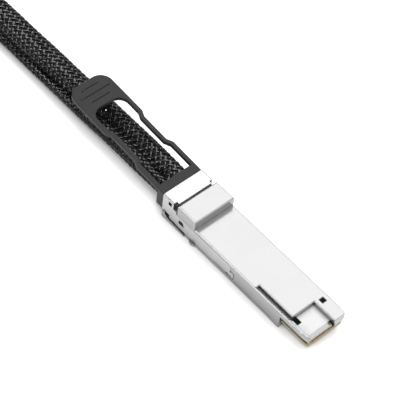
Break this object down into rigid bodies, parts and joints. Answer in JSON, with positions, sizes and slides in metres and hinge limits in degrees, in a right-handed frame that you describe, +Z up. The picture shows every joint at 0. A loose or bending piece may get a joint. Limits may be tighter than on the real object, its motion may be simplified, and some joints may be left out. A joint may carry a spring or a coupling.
{
  "type": "direct attach copper cable",
  "caption": "Passive twin-axial copper cable with a pluggable die-cast connector, spring-loaded latch slider and pull tab at each end, in a braided sleeve.",
  "frame": {"origin": "on the near connector's underside, on its centre line, below the cage stop face", "axes": "+X out of the near connector's contact end along the insertion direction, +Z up through the hump, +Y across the connector"},
  "size_m": [0.288, 0.1872, 0.0152],
  "materials": {
    "shell_plating": "satin nickel plating on a zinc die casting",
    "slider_steel": "bent stainless sheet, fine satin",
    "screw_steel": "machined, plated",
    "spring_steel": "drawn music wire",
    "tab_plastic": "moulded, fine matte grain",
    "card_laminate": "solder mask over glass laminate",
    "contact_gold": "hard gold plating",
    "pair_foil": "foil wrap",
    "bar_copper": "tinned copper strip",
    "foam": "closed-cell foam",
    "chip_plastic": "moulded epoxy",
    "capacitor_ceramic": "fired ceramic with tinned ends",
    "ferrule_brass": "drawn tube, crimped",
    "cable_jacket": "extruded",
    "sleeve_braid": "glossy monofilament braid"
  },
  "bodies": {
    "root": {"near_upper_shell": "shell_plating", "near_lower_shell": "shell_plating", "near_shell_screws": "screw_steel", "near_return_spring_right": "spring_steel", "near_return_spring_left": "spring_steel", "near_cable_jacket_right": "cable_jacket", "near_cable_jacket_left": "cable_jacket", "near_crimp_ferrule_right": "ferrule_brass", "near_crimp_ferrule_left": "ferrule_brass", "near_paddle_card": "card_laminate", "near_contact_pads_top": "contact_gold", "near_contact_pads_bottom": "contact_gold", "near_twinax_pairs_top": "pair_foil", "near_twinax_pairs_bottom": "pair_foil", "near_ground_bar_top": "bar_copper", "near_ground_bar_bottom": "bar_copper", "near_foam_pad": "foam", "near_memory_chip": "chip_plastic", "near_capacitors": "capacitor_ceramic", "far_upper_shell": "shell_plating", "far_lower_shell": "shell_plating", "far_shell_screws": "screw_steel", "far_return_spring_right": "spring_steel", "far_return_spring_left": "spring_steel", "far_cable_jacket_right": "cable_jacket", "far_cable_jacket_left": "cable_jacket", "far_crimp_ferrule_right": "ferrule_brass", "far_crimp_ferrule_left": "ferrule_brass", "far_paddle_card": "card_laminate", "far_contact_pads_top": "contact_gold", "far_contact_pads_bottom": "contact_gold", "far_twinax_pairs_top": "pair_foil", "far_twinax_pairs_bottom": "pair_foil", "far_ground_bar_top": "bar_copper", "far_ground_bar_bottom": "bar_copper", "far_foam_pad": "foam", "far_memory_chip": "chip_plastic", "far_capacitors": "capacitor_ceramic", "sleeved_cable": "sleeve_braid"},
    "near_latch": {"near_latch_slider": "slider_steel", "near_pull_tab": "tab_plastic"},
    "far_latch": {"far_latch_slider": "slider_steel", "far_pull_tab": "tab_plastic"}
  },
  "joints": [
    {"name": "near_latch_slide", "type": "slide", "parent": "root", "child": "near_latch", "axis": [-1, 0, 0], "range_m": [0, 0.0025], "stiffness_N_per_m": 900, "springref_m": -0.0015, "deforming": ["near_return_spring_right", "near_return_spring_left"]},
    {"name": "far_latch_slide", "type": "slide", "parent": "root", "child": "far_latch", "axis": [-1, 0, 0], "range_m": [0, 0.0025], "stiffness_N_per_m": 900, "springref_m": -0.0015, "deforming": ["far_return_spring_right", "far_return_spring_left"]}
  ]
}
